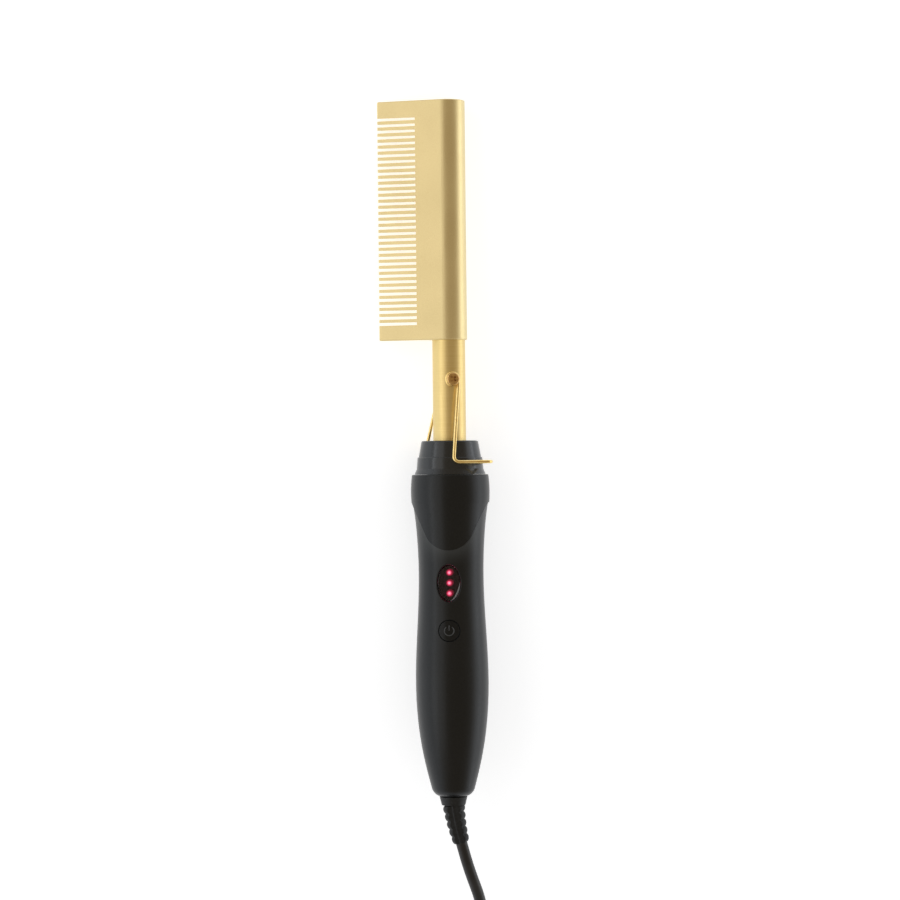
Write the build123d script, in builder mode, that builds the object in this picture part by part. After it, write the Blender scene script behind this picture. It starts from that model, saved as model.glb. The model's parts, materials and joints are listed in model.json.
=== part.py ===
"""Electric pressing comb with a wire stand, a three-light handle and a mains cord.

Every rigid piece is drawn in the tool's own frame: +Y runs from the handle's end to the
comb's tip, +Z points out of the power button, and the teeth point along -X. The finished
pieces are then turned and set down as the tool lies on a table, on the handle's shoulder
and on the comb's far end, with its teeth down. The cord is drawn as it lies there.
"""

import math
import os

from build123d import *

os.makedirs("parts", exist_ok=True)

# Driving dimensions, in millimetres and degrees

# The comb head
comb_tip_y = 300.0  # the tool's overall length
comb_length = 103.4
barrel_radius = 8.0
barrel_bore_radius = 5.5
tooth_reach = 30.0  # from the barrel's axis to the tooth tips
tooth_tip_radius = 0.6
blade_root_thickness = 3.0
blade_root_fillet = 4.0
slot_count = 35
slot_pitch = 2.6
slot_width = 1.3
slot_depth = 16.7
comb_end_bar = 7.2  # from the comb's end near the handle to the first slot's middle
comb_edge_fillet = 0.5
end_plug_thickness = 3.0

# The neck
tube_radius = 7.1
tube_wall = 0.8
tube_bottom_y = 121.0
spigot_bore_radius = 3.2
spigot_depth_in_comb = 15.0
spigot_depth_in_tube = 29.0
retainer_radius = 10.0
retainer_thickness = 3.0

# The heater
carrier_gap = 2.0  # from the spigot to the heater's carrier
carrier_end_gap = 6.9  # from the heater's carrier to the end plug
carrier_slot_width = 7.0
carrier_slot_height = 2.6
plate_count = 4
plate_gap = 2.0  # between the plates
plate_width = 6.6
plate_thickness = 2.2
thermistor_radius = 0.9
thermistor_length = 4.0

# The stand
pivot_y = 179.6
wire_diameter = 1.5
eye_radius = 2.5  # of the wire's centre line
eye_wrap = 260.0  # degrees of wire round each screw
leg_straight = 3.0  # below the eye, before the leg spreads
leg_length = 35.6  # from the pivot to the foot
front_foot_start = -1.2  # across the stand, where each leg meets its foot
rear_foot_start = -9.0
wire_bend_radius = 2.2
leg_spread_radius = 8.0
screw_head_radius = 2.8
screw_head_height = 1.5
screw_thread_radius = 1.2
stand_clearance = 0.3
foot_clearance = 0.5  # from the collar to the stand's feet

# The heat collar
collar_top_y = 153.2
collar_step_y = 146.1
collar_bottom_y = 138.7
collar_top_radius = 12.2
collar_upper_radius = 13.5
collar_lower_radius = 14.0
collar_skirt_radius = 14.4
collar_flare_radius = 15.4
collar_flare_height = 2.4
collar_edge_fillet = 0.8
collar_step_fillet = 0.4
collar_neck_radius = 10.0
collar_flange_radius = 12.0
collar_flange_thickness = 3.0

# The handle
shoulder_top_y = 138.6
shoulder_y = 131.0
shoulder_radius = 17.0
shoulder_top_radius = 16.5
shoulder_edge_y = 126.5
shoulder_edge_radius = 16.8
shoulder_top_fillet = 0.5
waist_y = 98.0
waist_radius = 14.0
flank_y = 75.0
flank_radius = 14.7
belly_y = 48.0
belly_radius = 15.7
taper_y = 20.7
taper_radius = 13.3
handle_end_y = 3.4
handle_end_radius = 9.3
end_face_radius = 5.9
upper_y = 116.0
upper_radius = 14.9
shell_wall = 2.2
shield_rise = 0.55
shield_bottom_y = 106.4
shield_arc_half_width = 9.4
shield_arc_height = 5.2
shield_top_half_width = 16.5

# The lights, the button and the board
board_z = 4.0  # middle of the board
board_thickness = 1.6
board_width = 16.0
board_bottom_y = 50.0
board_top_y = 108.0
lights_y = 92.2
light_count = 3
light_pitch = 4.45
light_radius = 1.5
window_half_width = 5.0
window_half_length = 8.0
window_ledge = 0.9
window_rim = 1.6
window_edge_fillet = 0.4
lens_thickness = 1.6
lens_top_z = 12.6
lens_clearance = 0.1
button_y = 71.9
button_radius = 4.45
button_edge_fillet = 0.3
button_seat_chamfer = 0.3
button_travel = 0.4
button_sink = 0.05  # of the cap's face below the handle's surface
button_lip_radius = 5.4
button_lip_thickness = 1.0
button_lip_top_z = 11.1
button_stem_radius = 2.2
switch_size = 6.0
switch_height = 3.5
plunger_radius = 1.75
plunger_height = 1.1
plunger_depth = 1.1
board_post_radius = 2.4
board_screw_inset = 4.0  # from the board's ends
board_screw_radius = 1.0
board_screw_head_radius = 1.9
board_screw_head_height = 1.3
shell_boss_radius = 3.2
shell_screw_low_y = 29.0
shell_screw_high_y = 114.5
shell_screw_radius = 1.3
shell_screw_head_radius = 2.4
shell_screw_head_height = 2.0
shell_screw_reach = 6.0  # into the front shell
screw_recess = 1.6  # of the head below the rear shell's surface

# The wires inside
lead_radius = 0.8
lead_spacing = 1.4
lead_board_spacing = 5.0
mains_wire_radius = 0.9
mains_wire_spacing = 1.2
mains_wire_detour = 5.2
mains_wire_board_spacing = 4.0
wire_bend = 5.0

# The cord's swivel and strain relief
end_wall = 4.0
swivel_journal_radius = 4.6
swivel_flange_radius = 6.5
swivel_flange_thickness = 2.0
swivel_gap = 0.3
ferrule_radius = 6.0
ferrule_tip_radius = 5.1
ferrule_length = 3.6
boot_length = 16.6
boot_start_radius = 4.9
boot_end_radius = 3.6
boot_rings = 5
boot_groove_width = 1.1
boot_groove_depth = 0.9
boot_spine_width = 3.0  # of the strips that join the rings in front and behind

# The cord
cord_diameter = 5.0
hank_layers = 4
hank_half_turns = 3  # in each layer
hank_run = 82.5
hank_end_radius = 16.2  # of the innermost turn
hank_waist = 6.0  # from the middle to the innermost run
hank_turn_step = 6.0
hank_waist_step = 7.6
hank_layer_step = 5.5
hank_x = -2.0
hank_y = -289.75
last_turn_radius = 15.4  # of the turn that brings the cord back over the hank to the plug
tie_thickness = 0.9
tie_width = 6.0
tie_clearance = 0.2
plug_length = 34.0
plug_width = 35.3
plug_height = 13.7
plug_face_length = 8.0
plug_back_width = 14.0
plug_relief_length = 10.0
plug_relief_radius = 4.0
plug_edge_fillet = 3.0
pin_radius = 2.0
pin_length = 19.0
pin_spacing = 18.6
pin_tip_fillet = 1.0
pin_root_radius = 1.6  # inside the plug
pin_seat_depth = 10.0  # of the pins' roots in the plug
pin_relief_depth = 0.5  # of the dish in the plug's face round each pin

# Clearances
running_clearance = 0.08  # between a shaft or slide and its bore
seat_clearance = 0.05  # between fixed pieces that slip together

# Sizes that follow from the ones above
comb_bottom_y = comb_tip_y - comb_length
carrier_bottom_y = comb_bottom_y + spigot_depth_in_comb + carrier_gap
end_plug_bottom_y = comb_tip_y - comb_edge_fillet - end_plug_thickness
carrier_length = end_plug_bottom_y - carrier_end_gap - carrier_bottom_y
plate_pitch = carrier_length / plate_count
plate_length = plate_pitch - plate_gap
wire_radius = wire_diameter / 2
cord_radius = cord_diameter / 2
board_top_z = board_z + board_thickness / 2
board_bottom_z = board_z - board_thickness / 2
tip_centre = tooth_reach - tooth_tip_radius
blade_angle = math.degrees(
    math.asin((barrel_radius - tooth_tip_radius) / tip_centre)
)  # from the comb's middle plane to its front face
lying_roll = blade_angle
lying_pitch = math.degrees(
    math.atan((shoulder_radius - barrel_radius) / (comb_tip_y - shoulder_y))
)

# The stand's screws stand upright while the tool lies down
stand_turn = math.radians(lying_roll)
stand_plane = Plane(
    origin=(0, pivot_y, 0),
    x_dir=(math.cos(stand_turn), 0, -math.sin(stand_turn)),
    z_dir=(math.sin(stand_turn), 0, math.cos(stand_turn)),
)
eye_offset = tube_radius + stand_clearance + wire_radius
foot_side_y = pivot_y - leg_length - wire_radius
collar_at_foot = collar_lower_radius + (collar_skirt_radius - collar_lower_radius) * (
    (collar_step_y - foot_side_y) / (collar_step_y - collar_bottom_y - collar_flare_height)
)
foot_offset = collar_at_foot + foot_clearance + wire_radius
head_offset = eye_offset + wire_radius + stand_clearance


def across(y):
    """The plane square to the tool's axis at y, drawn with x across and y out of the button."""
    return Plane(origin=(0, y, 0), x_dir=(1, 0, 0), z_dir=(0, -1, 0))


def facing(z):
    """The plane square to the power button's axis at height z."""
    return Plane.XY.offset(z)


def handle_half_section(inset, low_y, high_y):
    """Half of the handle's lengthwise section, its surface moved in by inset."""
    with BuildSketch(Plane.XY) as section:
        with BuildLine():
            side = Spline(
                (handle_end_radius - inset, handle_end_y),
                (taper_radius - inset, taper_y),
                (belly_radius - inset, belly_y),
                (flank_radius - inset, flank_y),
                (waist_radius - inset, waist_y),
                (upper_radius - inset, upper_y),
                (shoulder_edge_radius - shield_rise - inset, shoulder_edge_y),
                tangents=[(0.27, 1), (0.16, 1)],
            )
            end_curve = TangentArc(
                side @ 0, (end_face_radius - inset, 0), tangent=-(side % 0)
            )
            Polyline(end_curve @ 1, (0, 0), (0, shoulder_top_y))
            Polyline(
                (0, shoulder_top_y),
                (shoulder_edge_radius - shield_rise - inset, shoulder_top_y),
                side @ 1,
            )
        make_face()
        with BuildLine():
            Polyline(
                (0, low_y),
                (2 * shoulder_radius, low_y),
                (2 * shoulder_radius, high_y),
                (0, high_y),
                close=True,
            )
        make_face(mode=Mode.INTERSECT)
    return section.sketch


# The comb head: a barrel with a blade whose front face is flat and tangent to it
blade_slope = math.radians(blade_angle)
front_normal = Vector(-math.sin(blade_slope), math.cos(blade_slope))
front_run = Vector(math.cos(blade_slope), math.sin(blade_slope))
tip_front = Vector(-tip_centre, 0) + front_normal * tooth_tip_radius
barrel_front = front_normal * barrel_radius
slot_root_x = -tooth_reach + slot_depth
root_front = tip_front + front_run * ((slot_root_x - tip_front.X) / front_run.X)
root_rear = root_front - front_normal * blade_root_thickness
root_from_tip = root_rear - Vector(-tip_centre, 0)
rear_lift = math.degrees(math.asin(tooth_tip_radius / root_from_tip.length))
rear_run = root_from_tip.normalized().rotate(Axis.Z, rear_lift)
tip_rear = Vector(-tip_centre, 0) + rear_run.rotate(Axis.Z, -90) * tooth_tip_radius
rear_in_barrel = root_rear + rear_run * (abs(root_rear.X) - barrel_radius / 2)

with BuildPart() as comb_head:
    with BuildSketch(across(comb_bottom_y)):
        with BuildLine():
            Line(tip_front, barrel_front)
            Line(barrel_front, rear_in_barrel)
            Line(rear_in_barrel, tip_rear)
            ThreePointArc(tip_rear, (-tooth_reach, 0), tip_front)
        make_face()
        Circle(barrel_radius)
    extrude(amount=-comb_length)
    rear_flare = comb_head.edges().filter_by(Axis.Y).filter_by(
        lambda edge: -barrel_radius < edge.center().X < -barrel_radius / 2
        and 0 < edge.center().Z < barrel_radius / 2
    )
    fillet(rear_flare, blade_root_fillet)
    comb_ends = comb_head.faces().filter_by(Axis.Y)
    fillet(comb_ends.edges(), comb_edge_fillet)
    with BuildSketch(across(comb_bottom_y)):
        Circle(barrel_bore_radius)
    extrude(amount=-comb_length, mode=Mode.SUBTRACT)
    slots_middle_y = comb_bottom_y + comb_end_bar + slot_pitch * (slot_count - 1) / 2
    with BuildSketch(facing(-barrel_radius)):
        with GridLocations(0, slot_pitch, 1, slot_count):
            with Locations((slot_root_x, slots_middle_y)):
                Rectangle(tooth_reach, slot_width, align=(Align.MAX, Align.CENTER))
    extrude(amount=2 * barrel_radius, mode=Mode.SUBTRACT)
comb_head.part.label = "comb_head"

with BuildPart() as comb_end_plug:
    with BuildSketch(across(comb_tip_y - comb_edge_fillet)):
        Circle(barrel_bore_radius - seat_clearance)
    extrude(amount=end_plug_thickness)
    chamfer(comb_end_plug.edges().sort_by(Axis.Y)[-1], comb_edge_fillet)
comb_end_plug.part.label = "comb_end_plug"

# The neck tube, with a cross hole for each of the stand's screws
with BuildPart() as neck_tube:
    with BuildSketch(across(tube_bottom_y)):
        Circle(tube_radius)
        Circle(tube_radius - tube_wall, mode=Mode.SUBTRACT)
    extrude(amount=tube_bottom_y - comb_bottom_y)
    with BuildSketch(stand_plane):
        Circle(screw_thread_radius + seat_clearance)
    extrude(amount=2 * tube_radius, both=True, mode=Mode.SUBTRACT)
neck_tube.part.label = "neck_tube"

# The spigot fills the tube behind the screws and joins it to the comb
with BuildPart() as joining_spigot:
    with BuildSketch(across(comb_bottom_y - spigot_depth_in_tube)):
        Circle(tube_radius - tube_wall - seat_clearance)
    extrude(amount=-spigot_depth_in_tube)
    with BuildSketch(across(comb_bottom_y)):
        Circle(barrel_bore_radius - seat_clearance)
    extrude(amount=-spigot_depth_in_comb)
    with BuildSketch(across(comb_bottom_y + spigot_depth_in_comb)):
        Circle(spigot_bore_radius)
    extrude(amount=spigot_depth_in_comb + spigot_depth_in_tube, mode=Mode.SUBTRACT)
    with BuildSketch(stand_plane):
        Circle(screw_thread_radius + seat_clearance)
    extrude(amount=2 * tube_radius, both=True, mode=Mode.SUBTRACT)
joining_spigot.part.label = "joining_spigot"

with BuildPart() as tube_retainer:
    retainer_top_y = collar_bottom_y - (shoulder_top_y - shoulder_y) - collar_flange_thickness
    with BuildSketch(across(retainer_top_y)):
        Circle(retainer_radius)
        Circle(tube_radius + seat_clearance, mode=Mode.SUBTRACT)
    extrude(amount=retainer_thickness)
tube_retainer.part.label = "tube_retainer"

# The heater: ceramic plates in a slotted carrier
with BuildPart() as heater_carrier:
    with BuildSketch(across(carrier_bottom_y)):
        Circle(barrel_bore_radius - 2 * seat_clearance)
        Rectangle(carrier_slot_width, carrier_slot_height, mode=Mode.SUBTRACT)
    extrude(amount=-carrier_length)
heater_carrier.part.label = "heater_carrier"

with BuildPart() as heater_plates:
    with BuildSketch(facing(-plate_thickness / 2)):
        with Locations((0, carrier_bottom_y + carrier_length / 2)):
            with GridLocations(0, plate_pitch, 1, plate_count):
                Rectangle(plate_width, plate_length)
    extrude(amount=plate_thickness)
heater_plates.part.label = "heater_plates"

with BuildPart() as thermistor:
    with BuildSketch(across(carrier_bottom_y - seat_clearance)):
        with Locations((0, lead_spacing + lead_radius)):
            Circle(thermistor_radius)
    extrude(amount=thermistor_length)
    fillet(thermistor.edges().filter_by(GeomType.CIRCLE), thermistor_radius / 2)
thermistor.part.label = "thermistor"

# The stand: one wire, an eye at each end, two legs, two feet and a crossbar
crossbar_offset = foot_offset
with BuildPart() as stand_wire:
    with BuildLine(stand_plane.offset(eye_offset)) as front_eye:
        CenterArc((0, 0), eye_radius, eye_wrap, -eye_wrap)
    with BuildLine(stand_plane.offset(-eye_offset)) as rear_eye:
        CenterArc((0, 0), eye_radius, 180, -eye_wrap)
    with BuildLine(stand_plane) as stand_legs:
        FilletPolyline(
            (eye_radius, 0, eye_offset),
            (eye_radius, -leg_straight, eye_offset),
            (front_foot_start, -leg_length, foot_offset),
            (crossbar_offset, -leg_length, foot_offset),
            (crossbar_offset, -leg_length, -foot_offset),
            (rear_foot_start, -leg_length, -foot_offset),
            (-eye_radius, -leg_straight, -eye_offset),
            (-eye_radius, 0, -eye_offset),
            radius=[leg_spread_radius]
            + 4 * [wire_bend_radius]
            + [leg_spread_radius],
        )
    wire_path = Wire(front_eye.edges() + stand_legs.edges() + rear_eye.edges())
    with BuildSketch(Plane(origin=wire_path @ 0, z_dir=wire_path % 0)):
        Circle(wire_radius)
    sweep(path=wire_path)
stand_wire.part.label = "stand_wire"

# The two shoulder screws that the stand turns on
shank_reach = tube_radius - spigot_bore_radius
with BuildPart() as pivot_screws:
    with BuildSketch(stand_plane.offset(spigot_bore_radius + stand_clearance)):
        Circle(screw_thread_radius)
    extrude(amount=shank_reach)
    with BuildSketch(stand_plane.offset(tube_radius)):
        Circle(eye_radius - wire_radius - running_clearance)
    extrude(amount=head_offset - tube_radius)
    with BuildSketch(stand_plane.offset(head_offset)):
        Circle(screw_head_radius)
    extrude(amount=screw_head_height)
    head_rim = pivot_screws.faces().sort_by(Axis.Z)[-1].edges()
    fillet(head_rim, screw_head_height * 0.6)
    mirror(about=stand_plane)
pivot_screws.part.label = "pivot_screws"

# The heat collar: two tiers above, a neck and a flange held in the handle below
flange_top_y = collar_bottom_y - (shoulder_top_y - shoulder_y)
with BuildPart() as heat_collar:
    with BuildSketch(Plane.XY):
        with BuildLine():
            Polyline(
                (tube_radius + seat_clearance, collar_top_y),
                (collar_top_radius, collar_top_y),
                (collar_upper_radius, collar_step_y),
                (collar_lower_radius, collar_step_y),
                (collar_skirt_radius, collar_bottom_y + collar_flare_height),
                (collar_flare_radius, collar_bottom_y),
                (collar_neck_radius, collar_bottom_y),
                (collar_neck_radius, flange_top_y),
                (collar_flange_radius, flange_top_y),
                (collar_flange_radius, flange_top_y - collar_flange_thickness),
                (tube_radius + seat_clearance, flange_top_y - collar_flange_thickness),
                close=True,
            )
        make_face()
    revolve(axis=Axis.Y)
    top_rim = heat_collar.edges().filter_by(GeomType.CIRCLE).filter_by(
        lambda edge: abs(edge.radius - collar_top_radius) < seat_clearance
    )
    fillet(top_rim, collar_edge_fillet)
    step_rim = heat_collar.edges().filter_by(GeomType.CIRCLE).filter_by(
        lambda edge: abs(edge.radius - collar_lower_radius) < seat_clearance
    )
    fillet(step_rim, collar_step_fillet)
heat_collar.part.label = "heat_collar"

# The handle's outside: its body, the shoulder band and the shield that hangs from it
with BuildPart() as handle_overlay:
    revolve(handle_half_section(-shield_rise, shield_bottom_y, shoulder_edge_y), axis=Axis.Y)
    with BuildSketch(Plane.XY):
        with BuildLine():
            shield_arc = ThreePointArc(
                (-shield_arc_half_width, shield_bottom_y + shield_arc_height),
                (0, shield_bottom_y),
                (shield_arc_half_width, shield_bottom_y + shield_arc_height),
            )
            Polyline(
                shield_arc @ 1,
                (shield_top_half_width, shoulder_edge_y),
                (-shield_top_half_width, shoulder_edge_y),
                shield_arc @ 0,
            )
        make_face()
    extrude(amount=2 * shoulder_radius, mode=Mode.INTERSECT)

with BuildPart() as shoulder_band:
    with BuildSketch(Plane.XY):
        with BuildLine():
            ThreePointArc(
                (shoulder_edge_radius, shoulder_edge_y),
                (shoulder_radius, shoulder_y),
                (shoulder_top_radius, shoulder_top_y),
            )
            Polyline(
                (shoulder_top_radius, shoulder_top_y),
                (0, shoulder_top_y),
                (0, shoulder_edge_y),
                (shoulder_edge_radius, shoulder_edge_y),
            )
        make_face()
    revolve(axis=Axis.Y)
    fillet(shoulder_band.edges().sort_by(Axis.Y)[-1], shoulder_top_fillet)

with BuildPart() as handle_outside:
    revolve(handle_half_section(0, 0, shoulder_edge_y), axis=Axis.Y)
    add(shoulder_band.part)
    add(handle_overlay.part)

# The handle's inside: the hollow, less the posts and bosses that stand in it
cavity_top_y = flange_top_y
with BuildPart() as handle_inside:
    revolve(handle_half_section(shell_wall, end_wall, cavity_top_y), axis=Axis.Y)
    with BuildSketch(Plane.XY):
        with Locations((0, shell_screw_low_y), (0, shell_screw_high_y)):
            Circle(shell_boss_radius)
    extrude(amount=2 * shoulder_radius, both=True, mode=Mode.SUBTRACT)
    with BuildSketch(facing(board_top_z)):
        with Locations(
            (0, board_bottom_y + board_screw_inset), (0, board_top_y - board_screw_inset)
        ):
            Circle(board_post_radius)
    extrude(amount=2 * shoulder_radius, mode=Mode.SUBTRACT)
    with BuildSketch(facing(lens_top_z - lens_thickness - window_ledge)):
        with Locations((0, lights_y)):
            Ellipse(
                window_half_width + window_rim,
                window_half_length + window_rim,
            )
    extrude(amount=2 * shoulder_radius, mode=Mode.SUBTRACT)

with BuildPart() as handle_bores:
    with BuildSketch(across(shoulder_top_y)):
        Circle(collar_neck_radius + seat_clearance)
    extrude(amount=shoulder_top_y - cavity_top_y)
    with BuildSketch(across(end_wall)):
        Circle(swivel_journal_radius + running_clearance)
    extrude(amount=end_wall)



def outer_rim(shell, y):
    """The edge where an opening in the front of the shell at y meets its outside."""
    rims = shell.edges().filter_by(
        lambda edge: edge.is_closed and abs(edge.center(CenterOf.MASS).Y - y) < button_radius / 2
    )
    return rims.sort_by(lambda edge: edge.center(CenterOf.MASS).Z)[-1]


with BuildPart() as front_shell:
    add(handle_outside.part)
    add(handle_inside.part, mode=Mode.SUBTRACT)
    add(handle_bores.part, mode=Mode.SUBTRACT)
    split(bisect_by=Plane.XY, keep=Keep.TOP)
    with BuildSketch(facing(lens_top_z - lens_thickness)):
        with Locations((0, lights_y)):
            Ellipse(window_half_width, window_half_length)
    extrude(amount=2 * shoulder_radius, mode=Mode.SUBTRACT)
    with BuildSketch(facing(board_top_z)):
        with Locations((0, lights_y)):
            Ellipse(window_half_width - window_ledge, window_half_length - window_ledge)
    extrude(amount=2 * shoulder_radius, mode=Mode.SUBTRACT)
    with BuildSketch(facing(board_top_z)):
        with Locations((0, button_y)):
            Circle(button_radius + running_clearance)
    extrude(amount=2 * shoulder_radius, mode=Mode.SUBTRACT)
    with BuildSketch(facing(board_top_z)):
        with Locations(
            (0, board_bottom_y + board_screw_inset), (0, board_top_y - board_screw_inset)
        ):
            Circle(board_screw_radius)
    extrude(amount=shell_screw_reach, mode=Mode.SUBTRACT)
    with BuildSketch(Plane.XY):
        with Locations((0, shell_screw_low_y), (0, shell_screw_high_y)):
            Circle(shell_screw_radius)
    extrude(amount=shell_screw_reach + seat_clearance, mode=Mode.SUBTRACT)
    fillet(outer_rim(front_shell, lights_y), window_edge_fillet)
    chamfer(outer_rim(front_shell, button_y), button_seat_chamfer)
front_shell.part.label = "front_shell"

screw_head_z = -(waist_radius - screw_recess - shell_screw_head_height)
with BuildPart() as rear_shell:
    add(handle_outside.part)
    add(handle_inside.part, mode=Mode.SUBTRACT)
    add(handle_bores.part, mode=Mode.SUBTRACT)
    split(bisect_by=Plane.XY, keep=Keep.BOTTOM)
    with BuildSketch(Plane.XY):
        with Locations((0, shell_screw_low_y), (0, shell_screw_high_y)):
            Circle(shell_screw_radius + seat_clearance)
    extrude(amount=-2 * shoulder_radius, mode=Mode.SUBTRACT)
    with BuildSketch(facing(screw_head_z)):
        with Locations((0, shell_screw_low_y), (0, shell_screw_high_y)):
            Circle(shell_screw_head_radius + seat_clearance)
    extrude(amount=-2 * shoulder_radius, mode=Mode.SUBTRACT)
rear_shell.part.label = "rear_shell"

with BuildPart() as shell_screws:
    with BuildSketch(facing(screw_head_z)):
        with Locations((0, shell_screw_low_y), (0, shell_screw_high_y)):
            Circle(shell_screw_radius)
    extrude(amount=shell_screw_reach - screw_head_z)
    with BuildSketch(facing(screw_head_z)):
        with Locations((0, shell_screw_low_y), (0, shell_screw_high_y)):
            Circle(shell_screw_head_radius)
    extrude(amount=-shell_screw_head_height)
shell_screws.part.label = "shell_screws"

# The window and the lights behind it
with BuildPart() as window_lens:
    with BuildSketch(facing(lens_top_z - lens_thickness)):
        with Locations((0, lights_y)):
            Ellipse(
                window_half_width - lens_clearance, window_half_length - lens_clearance
            )
    extrude(amount=lens_thickness)
    fillet(window_lens.edges().group_by(Axis.Z)[-1], lens_thickness / 4)
window_lens.part.label = "window_lens"

with BuildPart() as lights:
    light_top_z = lens_top_z - lens_thickness - stand_clearance
    with BuildSketch(facing(board_top_z)):
        with Locations((0, lights_y)):
            with GridLocations(0, light_pitch, 1, light_count):
                Circle(light_radius)
    extrude(amount=light_top_z - board_top_z)
    fillet(lights.edges().group_by(Axis.Z)[-1], light_radius * 0.9)
lights.part.label = "lights"

# The power button, its switch and its plunger
with BuildPart() as button_face:
    revolve(handle_half_section(button_sink, 0, shoulder_edge_y), axis=Axis.Y)

button_foot_z = button_lip_top_z - button_lip_thickness
plunger_top_z = board_top_z + switch_height + plunger_height
with BuildPart() as power_button:
    with BuildSketch(facing(button_lip_top_z)):
        with Locations((0, button_y)):
            Circle(button_radius)
    extrude(amount=shoulder_radius)
    add(button_face.part, mode=Mode.INTERSECT)
    fillet(power_button.faces().sort_by(Axis.Z)[-1].edges(), button_edge_fillet)
    with BuildSketch(facing(button_foot_z)):
        with Locations((0, button_y)):
            Circle(button_lip_radius)
    extrude(amount=button_lip_thickness)
    with BuildSketch(facing(plunger_top_z)):
        with Locations((0, button_y)):
            Circle(button_stem_radius)
    extrude(amount=button_foot_z - plunger_top_z)
power_button.part.label = "power_button"

with BuildPart() as tact_switch:
    with BuildSketch(facing(board_top_z)):
        with Locations((0, button_y)):
            Rectangle(switch_size, switch_size)
    extrude(amount=switch_height)
    with BuildSketch(facing(board_top_z + switch_height)):
        with Locations((0, button_y)):
            Circle(plunger_radius + running_clearance)
    extrude(amount=-(plunger_depth + 2 * button_travel), mode=Mode.SUBTRACT)
tact_switch.part.label = "tact_switch"

with BuildPart() as switch_plunger:
    with BuildSketch(facing(plunger_top_z)):
        with Locations((0, button_y)):
            Circle(plunger_radius)
    extrude(amount=-(plunger_height + plunger_depth))
switch_plunger.part.label = "switch_plunger"

# The circuit board and what it carries
with BuildPart() as circuit_board:
    with BuildSketch(facing(board_bottom_z)):
        with Locations((0, (board_bottom_y + board_top_y) / 2)):
            Rectangle(board_width, board_top_y - board_bottom_y)
        with Locations(
            (0, board_bottom_y + board_screw_inset), (0, board_top_y - board_screw_inset)
        ):
            Circle(board_screw_radius + seat_clearance, mode=Mode.SUBTRACT)
    extrude(amount=board_thickness)
circuit_board.part.label = "circuit_board"

with BuildPart() as board_screws:
    with BuildSketch(facing(board_bottom_z)):
        with Locations(
            (0, board_bottom_y + board_screw_inset), (0, board_top_y - board_screw_inset)
        ):
            Circle(board_screw_radius - seat_clearance)
    extrude(amount=board_thickness + shell_screw_reach - board_screw_inset)
    with BuildSketch(facing(board_bottom_z)):
        with Locations(
            (0, board_bottom_y + board_screw_inset), (0, board_top_y - board_screw_inset)
        ):
            Circle(board_screw_head_radius)
    extrude(amount=-board_screw_head_height)
board_screws.part.label = "board_screws"

# Components on the board's rear: place along Y, place across, length, width, height
board_parts = {
    "capacitor": (66.0, 0.0, 13.0, 6.0, 8.0),
    "fuse": (80.0, -4.5, 8.0, 3.0, 3.0),
    "triac": (80.0, 4.0, 5.0, 4.0, 5.0),
    "controller": (92.0, 0.0, 8.0, 6.0, 1.6),
}
with BuildPart() as board_components:
    for y, x, length, width, height in board_parts.values():
        with BuildSketch(facing(board_bottom_z)):
            with Locations((x, y)):
                Rectangle(width, length)
        extrude(amount=-height)
board_components.part.label = "board_components"

# The wires inside: a pair from the heater to the board, a pair from the swivel to it
with BuildPart() as heater_leads:
    for side in (-1, 1):
        with BuildLine() as lead_route:
            FilletPolyline(
                (side * lead_spacing, carrier_bottom_y, 0),
                (side * lead_spacing, tube_bottom_y + wire_bend, 0),
                (side * lead_board_spacing, board_top_y + wire_bend, board_z),
                (side * lead_board_spacing, board_top_y, board_z),
                radius=[wire_bend, wire_bend],
            )
        with BuildSketch(Plane(origin=lead_route.line @ 0, z_dir=lead_route.line % 0)):
            Circle(lead_radius)
        sweep(path=lead_route.line)
heater_leads.part.label = "heater_leads"

swivel_top_y = end_wall + swivel_gap + swivel_flange_thickness
with BuildPart() as mains_wires:
    for side in (-1, 1):
        with BuildLine() as mains_route:
            FilletPolyline(
                (side * mains_wire_spacing, swivel_top_y + swivel_gap, 0),
                (side * mains_wire_spacing, swivel_top_y + wire_bend, 0),
                (side * mains_wire_detour, shell_screw_low_y - wire_bend, 0),
                (side * mains_wire_detour, shell_screw_low_y + 2 * wire_bend, 0),
                (side * mains_wire_board_spacing, board_bottom_y - wire_bend, board_z),
                (side * mains_wire_board_spacing, board_bottom_y, board_z),
                radius=4 * [wire_bend],
            )
        with BuildSketch(Plane(origin=mains_route.line @ 0, z_dir=mains_route.line % 0)):
            Circle(mains_wire_radius)
        sweep(path=mains_route.line)
mains_wires.part.label = "mains_wires"

# The cord's swivel turns in the handle's end wall, and the boot is moulded on it
with BuildPart() as cord_swivel:
    with BuildSketch(Plane.XY):
        with BuildLine():
            Polyline(
                (0, -swivel_gap - ferrule_length),
                (ferrule_tip_radius, -swivel_gap - ferrule_length),
                (ferrule_radius, -swivel_gap),
                (swivel_journal_radius, -swivel_gap),
                (swivel_journal_radius, end_wall + swivel_gap),
                (swivel_flange_radius, end_wall + swivel_gap),
                (swivel_flange_radius, swivel_top_y),
                (0, swivel_top_y),
                close=True,
            )
        make_face()
    revolve(axis=Axis.Y)
cord_swivel.part.label = "cord_swivel"

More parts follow.
